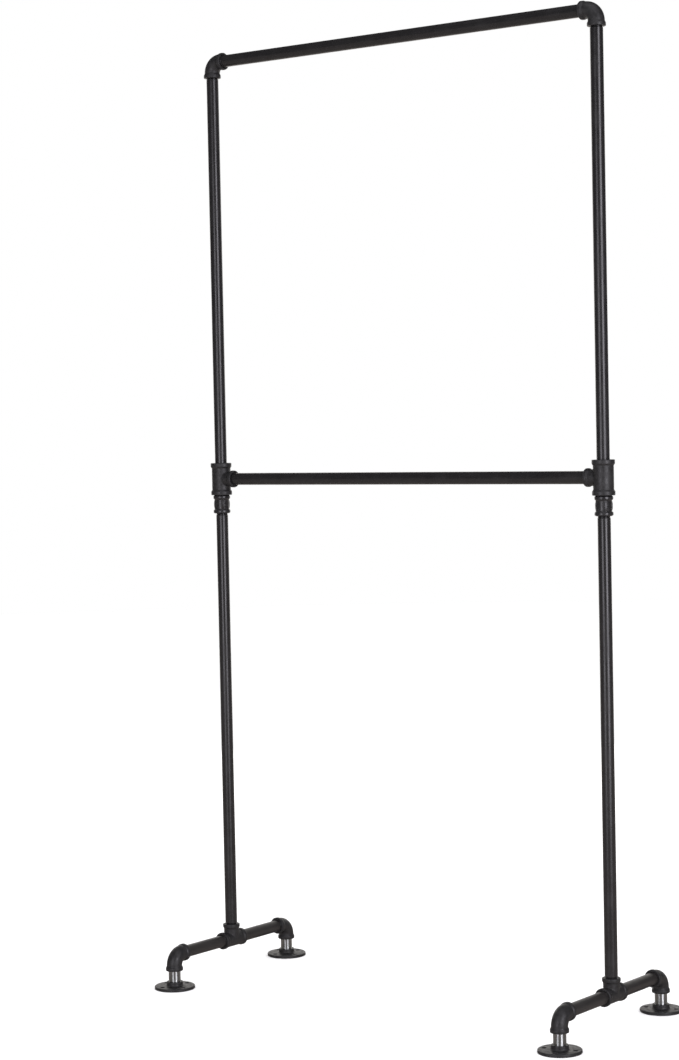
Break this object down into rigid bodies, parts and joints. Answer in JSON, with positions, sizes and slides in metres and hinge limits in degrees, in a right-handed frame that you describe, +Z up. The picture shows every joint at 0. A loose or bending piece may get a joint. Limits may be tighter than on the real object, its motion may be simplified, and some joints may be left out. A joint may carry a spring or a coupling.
{
  "type": "clothes rack",
  "caption": "Free-standing clothes rack of threaded black iron pipe, with a top rail, a lower rail that slides up the uprights, and floor flanges for feet.",
  "frame": {"origin": "on the floor, midway between the four floor flanges, which is the centre of the underside of the bounding box", "axes": "+Z up along the uprights; +X along the rails, from the left upright to the right one; +Y from the front feet to the back feet"},
  "size_m": [0.861, 0.382, 1.635],
  "materials": {
    "black_pipe": "black lacquered steel pipe, satin with soft lengthwise highlights",
    "cast_iron_fittings": "black malleable iron, matt with a fine sand-cast grain",
    "bright_nipples": "bright plated steel"
  },
  "bodies": {
    "frame": {"top_rail": "black_pipe", "top_elbow_left": "cast_iron_fittings", "upper_upright_left": "black_pipe", "coupling_left": "cast_iron_fittings", "lower_upright_left": "black_pipe", "base_tee_left": "cast_iron_fittings", "base_pipe_left_front": "black_pipe", "base_elbow_left_front": "cast_iron_fittings", "foot_nipple_left_front": "bright_nipples", "base_pipe_left_back": "black_pipe", "base_elbow_left_back": "cast_iron_fittings", "foot_nipple_left_back": "bright_nipples", "top_elbow_right": "cast_iron_fittings", "upper_upright_right": "black_pipe", "coupling_right": "cast_iron_fittings", "lower_upright_right": "black_pipe", "base_tee_right": "cast_iron_fittings", "base_pipe_right_front": "black_pipe", "base_elbow_right_front": "cast_iron_fittings", "foot_nipple_right_front": "bright_nipples", "base_pipe_right_back": "black_pipe", "base_elbow_right_back": "cast_iron_fittings", "foot_nipple_right_back": "bright_nipples"},
    "mid_rail_unit": {"mid_rail": "black_pipe", "mid_tee_left": "cast_iron_fittings", "mid_tee_right": "cast_iron_fittings"},
    "flange_left_front": {"floor_flange_left_front": "cast_iron_fittings"},
    "flange_left_back": {"floor_flange_left_back": "cast_iron_fittings"},
    "flange_right_front": {"floor_flange_right_front": "cast_iron_fittings"},
    "flange_right_back": {"floor_flange_right_back": "cast_iron_fittings"}
  },
  "joints": [
    {"name": "mid_rail_lift", "type": "slide", "parent": "frame", "child": "mid_rail_unit", "axis": [0, 0, 1], "range_m": [0, 0.679]},
    {"name": "flange_turn_left_front", "type": "hinge", "parent": "frame", "child": "flange_left_front", "pos_m": [-0.3955, -0.156, 0], "axis": [0, 0, 1], "range_deg": [-180, 180]},
    {"name": "flange_turn_left_back", "type": "hinge", "parent": "frame", "child": "flange_left_back", "pos_m": [-0.3955, 0.156, 0], "axis": [0, 0, 1], "range_deg": [-180, 180]},
    {"name": "flange_turn_right_front", "type": "hinge", "parent": "frame", "child": "flange_right_front", "pos_m": [0.3955, -0.156, 0], "axis": [0, 0, 1], "range_deg": [-180, 180]},
    {"name": "flange_turn_right_back", "type": "hinge", "parent": "frame", "child": "flange_right_back", "pos_m": [0.3955, 0.156, 0], "axis": [0, 0, 1], "range_deg": [-180, 180]}
  ]
}
